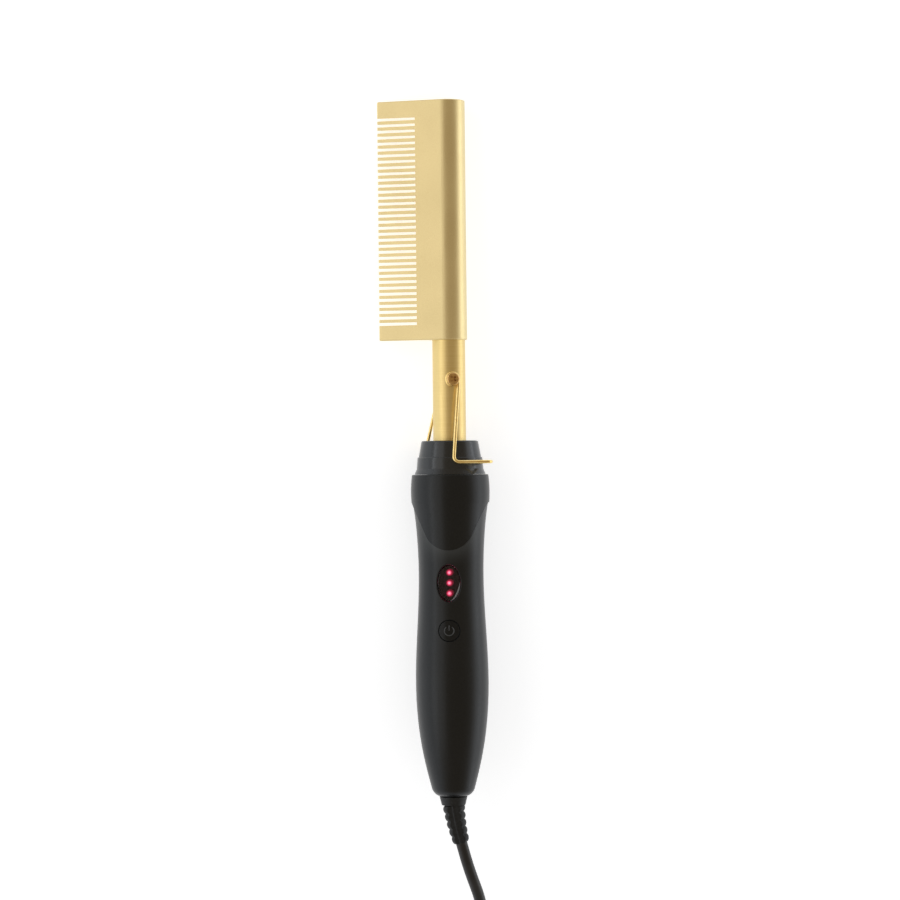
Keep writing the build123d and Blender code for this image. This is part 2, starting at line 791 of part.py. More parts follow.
boot_top_y = -swivel_gap - ferrule_length
boot_end_y = boot_top_y - boot_length
ring_pitch = boot_length / boot_rings
with BuildPart() as cord_boot:
    with BuildSketch(across(boot_top_y)):
        Circle(boot_start_radius)
    with BuildSketch(across(boot_end_y)):
        Circle(boot_end_radius)
    loft()
    for ring in range(1, boot_rings):
        groove_y = boot_top_y - ring * ring_pitch
        ring_radius = boot_start_radius + (boot_end_radius - boot_start_radius) * ring / boot_rings
        with BuildSketch(across(groove_y + boot_groove_width / 2)):
            Circle(2 * boot_start_radius)
            Circle(ring_radius - boot_groove_depth, mode=Mode.SUBTRACT)
            Rectangle(boot_spine_width, 4 * boot_start_radius, mode=Mode.SUBTRACT)
        extrude(amount=boot_groove_width, mode=Mode.SUBTRACT)
cord_boot.part.label = "cord_boot"

# Setting the tool down: teeth down, comb end down, and the floor at z = 0
tool_pieces = [
    comb_head, comb_end_plug, neck_tube, joining_spigot, tube_retainer, heater_carrier,
    heater_plates, thermistor, stand_wire, pivot_screws, heat_collar, front_shell,
    rear_shell, shell_screws, window_lens, lights, power_button, tact_switch,
    switch_plunger, circuit_board, board_screws, board_components, heater_leads,
    mains_wires, cord_swivel, cord_boot,
]
turned = Rot(X=-lying_pitch) * Rot(Y=-lying_roll)
turned_tool = Compound([turned * piece.part for piece in tool_pieces])
tool_box = turned_tool.bounding_box()
set_down = Pos(-tool_box.center().X, -tool_box.center().Y, -tool_box.min.Z)
lying = set_down * turned

# The cord as it lies: a free stretch down to the table, then a tied hank
hank_floor = tie_thickness + 2 * tie_clearance + cord_radius
half_run = hank_run / 2


def run_end(turn, side, end, z):
    """Where a run meets an end turn; side is 1 for the runs that leave the tool, -1 for the rest."""
    across_x = side * (hank_end_radius + hank_turn_step * turn)
    return Vector(hank_x + across_x, hank_y + end * half_run, z), Vector(0, -side, 0)


def run_waist(turn, side, z, climb):
    """The middle of a run, drawn in by the tie and rising by climb over the run."""
    across_x = side * (hank_waist + hank_waist_step * turn)
    way = Vector(0, -side, 2 * climb / hank_run).normalized()
    return Vector(hank_x + across_x, hank_y, z), way


def turn_apex(turn, end, z):
    """The middle of an end turn; end is 1 for the turns near the tool, -1 for the rest."""
    out_y = end * (half_run + hank_end_radius + hank_turn_step * turn)
    return Vector(hank_x, hank_y + out_y, z), Vector(end, 0, 0)


stations = []
before = None
for half in range(hank_layers * hank_half_turns):
    layer, place = divmod(half, hank_half_turns)
    side = 1 if half % 2 == 0 else -1
    z = hank_floor + layer * hank_layer_step
    outermost = (hank_half_turns - 1) / 2
    apex_turn = outermost - place / 2 if layer % 2 == 0 else place / 2
    if before is None:
        run_turns, rise = [outermost + step / 8 for step in (3, 2, 1)], 0
    elif place == 0:
        run_turns, rise = 3 * [apex_turn + (1 if layer % 2 == 0 else -1) / 8], hank_layer_step
    else:
        run_turns, rise = [before + (apex_turn - before) * step / 4 for step in (1, 2, 3)], 0
    stations += [
        run_end(run_turns[0], side, side, z - rise),
        run_waist(run_turns[1], side, z - rise / 2, rise),
        run_end(run_turns[2], side, -side, z),
        turn_apex(apex_turn, -side, z),
    ]
    before = apex_turn

# The last turn rises from the top layer and brings the cord back to the plug on the hank
top_z = hank_floor + (hank_layers - 1) * hank_layer_step
plug_z = top_z + cord_radius + tie_clearance + tie_thickness + stand_clearance + plug_height / 2
last_side = run_end(outermost - 1 / 8, -1, 1, top_z + (plug_z - top_z) / 4)[0]
plug_x = last_side.X + 2 * last_turn_radius
last_middle_z = (top_z + plug_z) / 2 + 1
stations[-2:] = [
    (last_side, Vector(0, 1, 0.2).normalized()),
    (
        Vector(plug_x - last_turn_radius, last_side.Y + last_turn_radius, last_middle_z),
        Vector(1, 0, 0.2).normalized(),
    ),
    (Vector(plug_x, last_side.Y, plug_z), Vector(0, -1, 0)),
]


def joined(start, start_way, end, end_way):
    """Two tangent arcs from start to end, as the points and ways where each begins."""
    span = end - start
    ways = start_way + end_way
    spread = 2 * (1 - start_way.dot(end_way))
    if spread < 1e-9:
        reach = span.dot(span) / (2 * span.dot(ways))
    else:
        reach = (-span.dot(ways) + math.sqrt(span.dot(ways) ** 2 + spread * span.dot(span))) / spread
    first_corner = start + start_way * reach
    last_corner = end - end_way * reach
    middle = (first_corner + last_corner) * 0.5
    return [(start, middle, start_way), (middle, end, (last_corner - first_corner).normalized())]


first_side, first_way = stations[0]
hank_start = first_side - first_way * cord_diameter
hank_end, hank_end_way = stations[-1]
plug_back = hank_end + hank_end_way * cord_diameter
with BuildPart() as cord_hank:
    with BuildLine() as hank_route:
        Line(hank_start, first_side)
        for (here, here_way), (there, there_way) in zip(stations, stations[1:]):
            for arc_start, arc_end, arc_way in joined(here, here_way, there, there_way):
                TangentArc(arc_start, arc_end, tangent=arc_way)
        Line(hank_end, plug_back)
    hank_wire = hank_route.wire()
    with BuildSketch(Plane(origin=hank_start, z_dir=first_way)):
        Circle(cord_radius)
    sweep(path=hank_wire)
cord_hank.part.label = "cord_hank"

cord_exit = (lying * Pos(0, boot_end_y, 0)).position
cord_exit_way = (lying * Pos(0, boot_end_y - 1, 0)).position - cord_exit
cord_points = [
    cord_exit,
    cord_exit + cord_exit_way * 15,
    cord_exit + Vector(6.5, -33.5, -6),
    cord_exit + Vector(13.3, -51.5, -15),
    hank_start + Vector(0, 16, 0),
    hank_start,
]
cord_bends = []
for before_bend, bend, after_bend in zip(cord_points, cord_points[1:], cord_points[2:]):
    half_turn = math.radians((bend - before_bend).get_angle(after_bend - bend)) / 2
    shorter = min((bend - before_bend).length, (after_bend - bend).length)
    cord_bends.append(min(0.45 * shorter / math.tan(half_turn), 20 * cord_diameter))
with BuildPart() as cord_run:
    with BuildLine() as cord_route:
        FilletPolyline(*cord_points, radius=cord_bends)
    with BuildSketch(Plane(origin=cord_exit, z_dir=cord_exit_way)):
        Circle(cord_radius)
    sweep(path=cord_route.wire())
cord_run.part.label = "cord_run"

# The tie round the hank's waist
tie_right = hank_waist + hank_waist_step * (outermost + 2 / 8) + cord_radius + tie_clearance
tie_left = hank_waist + hank_waist_step * (outermost - 2 / 8) + cord_radius + tie_clearance
tie_low_z = hank_floor - cord_radius - tie_clearance
tie_high_z = top_z + cord_radius + tie_clearance
tie_middle = (hank_x + (tie_right - tie_left) / 2, (tie_low_z + tie_high_z) / 2)
with BuildPart() as cord_tie:
    with BuildSketch(across(hank_y + tie_width / 2)):
        with Locations(tie_middle):
            RectangleRounded(
                tie_right + tie_left + 2 * tie_thickness,
                tie_high_z - tie_low_z + 2 * tie_thickness,
                cord_radius + tie_thickness,
            )
            RectangleRounded(
                tie_right + tie_left, tie_high_z - tie_low_z, cord_radius, mode=Mode.SUBTRACT
            )
    extrude(amount=tie_width)
cord_tie.part.label = "cord_tie"

# The plug on the hank's top, its pins away from the tool and moulded into its face
plug_body_y = plug_back.Y - plug_relief_length
plug_face_y = plug_body_y - plug_length
plug_face = Plane(origin=(plug_back.X, plug_face_y, plug_z), x_dir=(1, 0, 0), z_dir=(0, -1, 0))
pin_places = GridLocations(pin_spacing, 0, 2, 1)
with BuildPart() as plug_body:
    with BuildSketch(facing(plug_z - plug_height / 2)):
        with Locations((plug_back.X, 0)):
            Polygon(
                (plug_width / 2, plug_face_y),
                (-plug_width / 2, plug_face_y),
                (-plug_width / 2, plug_face_y + plug_face_length),
                (-plug_back_width / 2, plug_body_y),
                (plug_back_width / 2, plug_body_y),
                (plug_width / 2, plug_face_y + plug_face_length),
                align=None,
            )
    extrude(amount=plug_height)
    plug_rims = plug_body.faces().filter_by(Axis.Z).edges()
    fillet(plug_rims - plug_body.faces().sort_by(Axis.Y)[0].edges(), plug_edge_fillet)
    with BuildSketch(Plane(origin=plug_back, z_dir=(0, -1, 0))):
        Circle(plug_relief_radius)
    extrude(amount=plug_relief_length + plug_edge_fillet)
    with BuildSketch(plug_face):
        with pin_places:
            Circle(pin_root_radius + seat_clearance)
    extrude(amount=-pin_seat_depth, mode=Mode.SUBTRACT)
    with BuildSketch(plug_face):
        with pin_places:
            Circle(pin_radius + seat_clearance)
    extrude(amount=-pin_relief_depth, mode=Mode.SUBTRACT)
plug_body.part.label = "plug_body"

with BuildPart() as plug_pins:
    with BuildSketch(plug_face.offset(seat_clearance - pin_seat_depth)):
        with pin_places:
            Circle(pin_root_radius)
    extrude(amount=pin_seat_depth - seat_clearance)
    with BuildSketch(plug_face):
        with pin_places:
            Circle(pin_radius)
    extrude(amount=pin_length)
    fillet(plug_pins.edges().group_by(Axis.Y)[0], pin_tip_fillet)
plug_pins.part.label = "plug_pins"

for piece in tool_pieces:
    piece.part.move(lying)
for piece in tool_pieces + [cord_run, cord_hank, cord_tie, plug_body, plug_pins]:
    export_step(piece.part, f"parts/{piece.part.label}.step")

# What the cord comes to, and how near the hank's turns come to one another
hank_marks = [hank_wire.position_at(step / 900) for step in range(901)]
apart = round(3 * cord_diameter / (hank_wire.length / 900))
least_gap = min(
    (hank_marks[i] - hank_marks[j]).length
    for i in range(0, 901)
    for j in range(i + apart, 901)
)
section_area = math.pi * cord_radius**2
print("cord bend radii", [round(bend, 1) for bend in cord_bends])
print("cord length", round(cord_route.wire().length + hank_wire.length, 1))
print("least gap in the hank", round(least_gap - cord_diameter, 2))
print("cord_run volume ratio", cord_run.part.volume / (section_area * cord_route.wire().length))
print("cord_hank volume ratio", cord_hank.part.volume / (section_area * hank_wire.length))
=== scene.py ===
"""Looks of the electric pressing comb: cord and boot, small details, finishes, light and camera.

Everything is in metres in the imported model's frame. The tool's own frame, in which its details
are placed, is worked out from the joints: +Y runs to the comb's tip and +Z out of the button.
"""

import json
import math

import bmesh
import bpy
from mathutils import Euler, Matrix, Vector
from mathutils.bvhtree import BVHTree

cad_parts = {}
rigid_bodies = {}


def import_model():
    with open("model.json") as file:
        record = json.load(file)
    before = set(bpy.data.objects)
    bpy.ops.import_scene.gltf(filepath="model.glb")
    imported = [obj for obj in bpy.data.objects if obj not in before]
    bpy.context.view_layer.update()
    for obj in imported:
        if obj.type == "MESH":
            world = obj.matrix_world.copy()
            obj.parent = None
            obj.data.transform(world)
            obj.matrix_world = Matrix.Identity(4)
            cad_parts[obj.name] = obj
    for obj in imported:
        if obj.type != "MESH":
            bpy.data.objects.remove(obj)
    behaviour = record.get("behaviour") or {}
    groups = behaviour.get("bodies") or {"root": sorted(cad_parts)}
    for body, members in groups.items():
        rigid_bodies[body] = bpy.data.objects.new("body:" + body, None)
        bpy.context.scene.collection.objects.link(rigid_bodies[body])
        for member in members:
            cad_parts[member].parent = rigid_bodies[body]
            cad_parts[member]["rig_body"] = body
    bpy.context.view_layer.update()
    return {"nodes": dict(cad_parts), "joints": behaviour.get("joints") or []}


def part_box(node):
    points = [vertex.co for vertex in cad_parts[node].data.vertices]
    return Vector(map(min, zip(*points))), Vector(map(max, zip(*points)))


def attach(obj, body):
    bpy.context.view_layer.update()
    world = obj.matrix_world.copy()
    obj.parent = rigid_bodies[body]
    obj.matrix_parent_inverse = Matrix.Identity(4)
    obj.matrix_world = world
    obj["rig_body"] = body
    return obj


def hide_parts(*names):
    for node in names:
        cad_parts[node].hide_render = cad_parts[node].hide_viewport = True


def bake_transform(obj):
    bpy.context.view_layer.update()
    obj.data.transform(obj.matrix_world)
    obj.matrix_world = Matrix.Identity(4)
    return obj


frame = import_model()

nodes = frame["nodes"]
joints = {joint["name"]: joint for joint in frame["joints"]}
MM = 0.001

# The tool's own frame, from its joints
swivel_middle_y = 2 * MM  # of the cord's swivel joint, along the tool
tool_y = -Vector(joints["cord_turn"]["axis"])
tool_z = -Vector(joints["button_press"]["axis"])
tool_x = tool_y.cross(tool_z)
tool_origin = Vector(joints["cord_turn"]["pos_m"]) - tool_y * swivel_middle_y
tool_axes = Matrix((tool_x, tool_y, tool_z)).transposed()
tool_frame = Matrix.Translation(tool_origin) @ tool_axes.to_4x4()


def on_tool(x, y, z):
    """A point given in the tool's own frame, in millimetres."""
    return tool_frame @ (Vector((x, y, z)) * MM)


# The cord's facts and its hank, with the sizes that the solids have
cord_diameter = 5.0 * MM
cord_order = 3  # of the curve
cord_steps = 6  # of the curve between control points
cord_bevel_steps = 7
hank_layers = 4
hank_half_turns = 3
hank_run = 82.5 * MM
hank_end_radius = 16.05 * MM  # a little under the solid's, which the bulges then stay in
hank_waist = 6.0 * MM
hank_turn_step = 6.0 * MM
hank_waist_step = 7.6 * MM
hank_layer_step = 5.5 * MM
hank_x = -2.0 * MM
hank_y = -289.75 * MM
hank_floor = 3.8 * MM
plug_z = 31.05 * MM
last_turn_radius = 15.4 * MM
run_end_share = 0.25  # of a run's length from its middle, where it starts to draw in
run_waist_share = 0.09
arc_points = 6  # to each half turn

# The boot on the cord, bent towards the side where the cord leaves
boot_top_y = -3.9
boot_length = 16.6 * MM
boot_start_radius = 4.9 * MM
boot_end_radius = 3.6 * MM
boot_rings = 5
boot_flat = 0.80  # of the radius, at the strips and between the rings
boot_ridge_height = 0.3 * MM
boot_ridge_width = 0.45 * MM
lobe_fullness = 0.55  # a lower power makes rounder rings


def half_turn(start_angle, way, middle, radii, heights):
    """Control points round a half turn, just outside it, so that the cord runs on it."""
    points = []
    spread = math.cos(math.pi / (2 * arc_points))
    for step in range(arc_points):
        share = (step + 0.5) / arc_points
        angle = start_angle + way * math.pi * share
        radius = (radii[0] + (radii[1] - radii[0]) * share) / spread
        height = heights[0] + (heights[1] - heights[0]) * share
        points.append(
            Vector(
                (
                    middle.x + radius * math.cos(angle),
                    middle.y + radius * math.sin(angle),
                    height,
                )
            )
        )
    return points


def hank_run_points(side, turns, low, high):
    """Control points of one run, drawn in at its waist, from low to high."""
    x_start, x_waist, x_end = (
        hank_x + side * (hank_end_radius + hank_turn_step * turns[0]),
        hank_x + side * (hank_waist + hank_waist_step * turns[1]),
        hank_x + side * (hank_end_radius + hank_turn_step * turns[2]),
    )
    rows = (
        (x_start, run_end_share, 0),
        (x_waist, run_waist_share, 0.35),
        (x_waist, -run_waist_share, 0.65),
        (x_end, -run_end_share, 1),
    )
    return [
        Vector((x, hank_y + side * share * hank_run, low + (high - low) * climb))
        for x, share, climb in rows
    ]


def hank_points():
    """Control points of the whole hank, run by run and turn by turn, to the plug on its top."""
    points = []
    outermost = (hank_half_turns - 1) / 2
    before = None
    for half in range(hank_layers * hank_half_turns):
        layer, place = divmod(half, hank_half_turns)
        side = 1 if half % 2 == 0 else -1
        z = hank_floor + layer * hank_layer_step
        apex_turn = outermost - place / 2 if layer % 2 == 0 else place / 2
        low = z
        if before is None:
            run_turns = [outermost + step / 8 for step in (3, 2, 1)]
        elif place == 0:
            run_turns = 3 * [apex_turn + (1 if layer % 2 == 0 else -1) / 8]
            low = z - hank_layer_step
        else:
            run_turns = [before + (apex_turn - before) * step / 4 for step in (1, 2, 3)]
        before = apex_turn
        points += hank_run_points(side, run_turns, low, z)
        end_y = hank_y - side * hank_run / 2
        if half < hank_layers * hank_half_turns - 1:
            next_turn = apex_turn
            if place < hank_half_turns - 1:
                next_turn += (-1 if layer % 2 == 0 else 1) / 8
            points += half_turn(
                0 if side > 0 else math.pi,
                -1,
                Vector((hank_x, end_y)),
                (
                    hank_end_radius + hank_turn_step * run_turns[2],
                    hank_end_radius + hank_turn_step * next_turn,
                ),
                (z, z),
            )
    last_x = hank_x - hank_end_radius - hank_turn_step * (outermost - 1 / 8)
    rise = (plug_z - z) / 4
    points[-1] = Vector((points[-1].x, points[-1].y, z + rise / 2))
    points += half_turn(
        math.pi,
        -1,
        Vector((last_x + last_turn_radius, end_y)),
        (last_turn_radius, last_turn_radius),
        (z + rise, plug_z),
    )
    plug_x = last_x + 2 * last_turn_radius
    points.append(Vector((plug_x, end_y - 4 * MM, plug_z)))
    points.append(Vector((plug_x, end_y - 8 * MM, plug_z)))
    return points


def free_points():
    """Control points from the ferrule, through the boot and down to the hank."""
    first_x = hank_x + hank_end_radius + hank_turn_step * (1 + 3 / 8)
    lean = ((-11.0, 0.9), (-19.0, 2.9))  # along the tool and sideways, inside the boot
    inside = [on_tool(0, along, 0) + Vector((aside * MM, 0, 0)) for along, aside in lean]
    down = [
        Vector((12.6, -171.6, 24.8)) * MM,
        Vector((19.2, -187.6, 20.6)) * MM,
        Vector((22.2, -205.0, 12.6)) * MM,
        Vector((first_x, -224.0 * MM, hank_floor)),
        Vector((first_x, -243.5 * MM, hank_floor)),
    ]
    return [on_tool(0, boot_top_y, 0)] + inside + down


def make_curve(name, points):
    """A NURBS curve with these control points."""
    data = bpy.data.curves.new(name, "CURVE")
    data.dimensions = "3D"
    spline = data.splines.new("NURBS")
    spline.points.add(len(points) - 1)
    for place, point in zip(spline.points, points):
        place.co = (*point, 1)
        place.radius = cord_diameter / 2
    spline.order_u = cord_order
    spline.use_endpoint_u = True
    data.resolution_u = cord_steps
    curve = bpy.data.objects.new(name, data)
    bpy.context.scene.collection.objects.link(curve)
    return curve


def line_of(curve):
    """Points along a curve that has no bevel."""
    graph = bpy.context.evaluated_depsgraph_get()
    mesh = bpy.data.meshes.new_from_object(curve.evaluated_get(graph))
    line = [vertex.co.copy() for vertex in mesh.vertices]
    bpy.data.meshes.remove(mesh)
    return line


def make_object(name, mesh_builder, body):
    """A smooth-shaded mesh object from a bmesh, riding on a body."""
    data = bpy.data.meshes.new(name)
    mesh_builder.to_mesh(data)
    mesh_builder.free()
    piece = bpy.data.objects.new(name, data)
    bpy.context.scene.collection.objects.link(piece)
    for polygon in data.polygons:
        polygon.use_smooth = True
    if body:
        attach(piece, body)
    return piece


def smoothstep(low, high, value):
    """From 0 to 1 between two values, level at both ends."""
    share = min(1.0, max(0.0, (value - low) / (high - low)))
    return share * share * (3 - 2 * share)


# Cord

cord_line = make_curve("mains_cord", free_points() + hank_points())
route = line_of(cord_line)
cord_line.data.bevel_depth = 1.0  # times each point's radius
cord_line.data.bevel_resolution = cord_bevel_steps
cord_line.data.use_fill_caps = True
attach(cord_line, "tool")
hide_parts("cord_run", "cord_hank")


# Boot: lobed rings at its sides, flat strips with a ridge in front and behind

def route_frames(length, count):
    """Points at even steps along the cord's start, each with the way it runs."""
    marks = [0.0]
    for here, there in zip(route, route[1:]):
        marks.append(marks[-1] + (there - here).length)
    frames = []
    for step in range(count):
        goal = length * step / (count - 1)
        place = max(i for i, mark in enumerate(marks[:-1]) if mark <= goal)
        share = (goal - marks[place]) / (marks[place + 1] - marks[place])
        point = route[place].lerp(route[place + 1], share)
        frames.append((point, (route[place + 1] - route[place]).normalized()))
    return frames


def boot_radius(along, angle):
    """How far the boot's surface stands from its middle, along is from 0 to 1."""
    radius = boot_start_radius + (boot_end_radius - boot_start_radius) * along
    lobe = abs(math.sin(math.pi * along * boot_rings)) ** lobe_fullness
    side = radius * (boot_flat + (1 - boot_flat) * lobe)
    aside = abs(math.cos(angle))
    flat = boot_flat * radius / max(abs(math.sin(angle)), 0.5)
    ridge = boot_ridge_height * math.exp(-((radius * math.cos(angle) / boot_ridge_width) ** 2))
    edge = smoothstep(0.50, 0.66, aside)
    return (min(flat, radius) + ridge) * (1 - edge) + side * edge


def make_boot():
    shape = bmesh.new()
    around, stations = 96, 130
    rings = []
    for step, (point, way) in enumerate(route_frames(boot_length, stations)):
        across = way.cross(tool_z).normalized()
        out = across.cross(way).normalized()
        ring = []
        for turn in range(around):
            angle = 2 * math.pi * turn / around
            reach = boot_radius(step / (stations - 1), angle)
            offset = across * math.cos(angle) + out * math.sin(angle)
            ring.append(shape.verts.new(point + offset * reach))
        rings.append(ring)
    for lower, upper in zip(rings, rings[1:]):
        for turn in range(around):
            after = (turn + 1) % around
            shape.faces.new((lower[turn], lower[after], upper[after], upper[turn]))
    shape.faces.new(rings[0])
    shape.faces.new(rings[-1])
    bmesh.ops.recalc_face_normals(shape, faces=shape.faces)
    return make_object("cord_boot_lobed", shape, None)


boot = make_boot()
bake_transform(boot)
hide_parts("cord_boot")


# The lights and the button, as the solids have them
lights_y = 92.2
light_pitch = 4.45
light_strength = 7.0

# The power sign on the button: a broken ring and a bar, raised from its face

button_y = 71.9
sign_radius = 2.0
sign_stroke = 0.5
sign_height = 0.32
sign_gap = math.radians(38)  # on each side of the bar

# Every raised strip's section, in millimetres or as shares of its width and height
strip_root = 0.08  # sunk into the face
strip_inset = 0.22  # from each edge to the flat top
strip_shoulder = 0.45
above_tool = 40  # where rays to the face start


def face_height(node, x, y):
    """How high a node's surface stands over the tool's axis, at a place on the tool."""
    mesh = bmesh.new()
    mesh.from_mesh(nodes[node].data)
    tree = BVHTree.FromBMesh(mesh)
    mesh.free()
    heights = []
    for px, py in zip(x, y):
        hit = tree.ray_cast(on_tool(px, py, above_tool), -tool_z)[0]
        heights.append((tool_frame.inverted() @ hit).z / MM)
    return heights


def strip_on_face(name, node, body, rows, height):
    """A raised strip on a node's face; rows are pairs of places at its two edges."""
    flat = [place for row in rows for place in row]
    heights = face_height(node, [p[0] for p in flat], [p[1] for p in flat])
    shape = bmesh.new()
    loops = []
    for number, row in enumerate(rows):
        left, right = row
        z_left, z_right = heights[2 * number], heights[2 * number + 1]
        inner = [left[i] + (right[i] - left[i]) * strip_inset for i in (0, 1)]
        outer = [left[i] + (right[i] - left[i]) * (1 - strip_inset) for i in (0, 1)]
        loops.append(
            [
                shape.verts.new(on_tool(*left, z_left - strip_root)),
                shape.verts.new(on_tool(*left, z_left + height * strip_shoulder)),
                shape.verts.new(on_tool(*inner, (z_left + z_right) / 2 + height)),
                shape.verts.new(on_tool(*outer, (z_left + z_right) / 2 + height)),
                shape.verts.new(on_tool(*right, z_right + height * strip_shoulder)),
                shape.verts.new(on_tool(*right, z_right - strip_root)),
            ]
        )
    for lower, upper in zip(loops, loops[1:]):
        for corner in range(6):
            after = (corner + 1) % 6
            shape.faces.new((lower[corner], lower[after], upper[after], upper[corner]))
    shape.faces.new(loops[0])
    shape.faces.new(loops[-1])
    bmesh.ops.recalc_face_normals(shape, faces=shape.faces)
    return make_object(name, shape, body)


def ring_rows(middle_y, radius, stroke, start, end, count):
    """Places at the two edges of part of a ring; its angles count from the comb's side."""
    rows = []
    for step in range(count + 1):
        angle = start + (end - start) * step / count
        rows.append(
            tuple(
                (reach * math.sin(angle), middle_y + reach * math.cos(angle))
                for reach in (radius - stroke / 2, radius + stroke / 2)
            )
        )
    return rows


sign_ring = strip_on_face(
    "power_sign_ring",
    "power_button",
    "button",
    ring_rows(button_y, sign_radius, sign_stroke, sign_gap, 2 * math.pi - sign_gap, 56),
    sign_height,
)
bar_rows = [
    ((-sign_stroke / 2, button_y + along), (sign_stroke / 2, button_y + along))
    for along in (0.1, 0.7, 1.3, 1.9, 2.4)
]
sign_bar = strip_on_face("power_sign_bar", "power_button", "button", bar_rows, sign_height)


# The window's edge: a painted highlight, a pale grey crescent widest at its lower right and gone at
# its upper left
window_half_width = 4.75
window_half_length = 7.75
edge_width = 0.75  # more than at its ends
edge_end_width = 0.05
edge_rise = 0.1
edge_middle = math.radians(-42)  # where it is widest, from across towards the comb
edge_spread = math.radians(46)


def window_edge_rows(count):
    """Places at the two edges of the crescent."""
    rows = []
    for step in range(count + 1):
        share = 2 * step / count - 1
        angle = edge_middle + edge_spread * share
        width = edge_end_width + edge_width * (1 - share * share)
        rows.append(
            tuple(
                ((window_half_width - inset) * math.cos(angle),
                 lights_y + (window_half_length - inset) * math.sin(angle))
                for inset in (width, 0.0)
            )
        )
    return rows


window_edge = strip_on_face(
    "window_painted_highlight", "window_lens", "tool", window_edge_rows(40), edge_rise
)


# The screws, each turned from its outline, with a cross recess in its head

def turned(name, base, out, outline, around=48):
    """A closed solid of revolution; the outline's pairs are radius and height, in millimetres."""
    across = out.orthogonal().normalized()
    beside = out.cross(across)
    shape = bmesh.new()
    rings = []
    for radius, height in outline:
        middle = base + out * height * MM
        ring = []
        for turn in range(around):
            angle = 2 * math.pi * turn / around
            way = across * math.cos(angle) + beside * math.sin(angle)
            ring.append(shape.verts.new(middle + way * radius * MM))
        rings.append(ring)
    for lower, upper in zip(rings, rings[1:]):
        for turn in range(around):
            after = (turn + 1) % around
            shape.faces.new((lower[turn], lower[after], upper[after], upper[turn]))
    shape.faces.new(rings[0])
    shape.faces.new(rings[-1])
    bmesh.ops.recalc_face_normals(shape, faces=shape.faces)
    return make_object(name, shape, None)


def cross_cutter(middle, out, arm, width, depth):
    """A tapered cross that stands in a screw's head, as far below its middle as above it."""
    along = out.orthogonal().normalized()
    beside = out.cross(along)
    shape = bmesh.new()
    loops = []
    for reach, half, height in ((arm, width / 2, depth), (0.4 * arm, 0.25 * width, -depth)):
        corners = []
        for turn in range(4):
            long_way = along * (1, 0, -1, 0)[turn] + beside * (0, 1, 0, -1)[turn]
            wide_way = out.cross(long_way)
            for far, aside in ((reach, -half), (reach, half), (half, half)):
                place = long_way * far + wide_way * aside + out * height
                corners.append(shape.verts.new(middle + place * MM))
        loops.append(corners)
        shape.faces.new(corners)
    for corner in range(12):
        after = (corner + 1) % 12
        shape.faces.new((loops[0][corner], loops[0][after], loops[1][after], loops[1][corner]))
    bmesh.ops.recalc_face_normals(shape, faces=shape.faces)
    return make_object("cross_cutter", shape, None)


def screw(name, base, out, outline, cross, node):
    """A turned screw with its cross cut out, riding where the solids' screws do."""
    piece = turned(name, base, out, outline)
    top = outline[-1][1]
    cutter = cross_cutter(base + out * (top + 0.05) * MM, out, *cross)
    cut = piece.modifiers.new("cross", "BOOLEAN")
    cut.operation = "DIFFERENCE"
    cut.solver = "EXACT"
    cut.object = cutter
    bpy.context.view_layer.update()
    graph = bpy.context.evaluated_depsgraph_get()
    whole = bpy.data.meshes.new_from_object(piece.evaluated_get(graph))
    piece.modifiers.clear()
    piece.data = whole
    bpy.data.objects.remove(cutter)
    whole.set_sharp_from_angle(angle=math.radians(35))
    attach(piece, nodes[node]["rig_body"])
    return piece


stand_axis = Vector(joints["stand_fold"]["axis"])
stand_pivot = Vector(joints["stand_fold"]["pos_m"])
pivot_low, pivot_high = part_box("pivot_screws")
pivot_head_radius = 2.8
pivot_head_height = 1.5
pivot_half_reach = (pivot_high.z - pivot_low.z) / 2 / MM
pivot_head_top = (pivot_half_reach - pivot_head_radius * abs(stand_axis.y)) / stand_axis.z
pivot_outline = [
    (1.2, -4.6), (1.2, -2.2), (1.27, -2.1), (1.27, 0.0), (pivot_head_radius, 0.0),
    (pivot_head_radius, 0.62), (2.74, 0.92), (2.58, 1.18), (2.34, 1.36), (2.05, 1.46),
    (1.75, pivot_head_height),
]
pivot_cross = (1.95, 1.0, 1.15)  # its arm, width and depth
pivot_screws = [
    screw(
        f"pivot_screw_{side}",
        stand_pivot + way * stand_axis * (pivot_head_top - pivot_head_height) * MM,
        way * stand_axis,
        pivot_outline,
        pivot_cross,
        "pivot_screws",
    )
    for side, way in (("front", 1), ("rear", -1))
]
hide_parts("pivot_screws")

shell_screw_outline = [
    (1.3, -16.0), (1.3, 0.0), (2.4, 0.0), (2.4, 1.3), (2.33, 1.6), (2.12, 1.84), (1.8, 1.96),
    (1.5, 2.0),
]
shell_screw_head_z = -10.4
shell_screw_cross = (1.45, 0.7, 0.95)
shell_screws = [
    screw(
        f"shell_screw_{end}",
        on_tool(0, along, shell_screw_head_z),
        -tool_z,
        shell_screw_outline,
        shell_screw_cross,
        "shell_screws",
    )
    for end, along in (("low", 29.0), ("high", 114.5))
]
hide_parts("shell_screws")


# Finishes

def new_finish(name):
    """A material with its shader and node tree."""
    finish = bpy.data.materials.new(name)
    finish.use_nodes = True
    return finish, finish.node_tree, finish.node_tree.nodes["Principled BSDF"]


def noise(tree, scale, detail=2.0, stretch=(1, 1, 1), turn=(0, 0, 0)):
    """Noise over the piece's own metres; scale is in cells per metre."""
    place = tree.nodes.new("ShaderNodeTexCoord")
    spread = tree.nodes.new("ShaderNodeMapping")
    spread.inputs["Scale"].default_value = stretch
    spread.inputs["Rotation"].default_value = turn
    texture = tree.nodes.new("ShaderNodeTexNoise")
    texture.inputs["Scale"].default_value = scale
    texture.inputs["Detail"].default_value = detail
    tree.links.new(place.outputs["Object"], spread.inputs["Vector"])
    tree.links.new(spread.outputs["Vector"], texture.inputs["Vector"])
    return texture.outputs["Fac"]


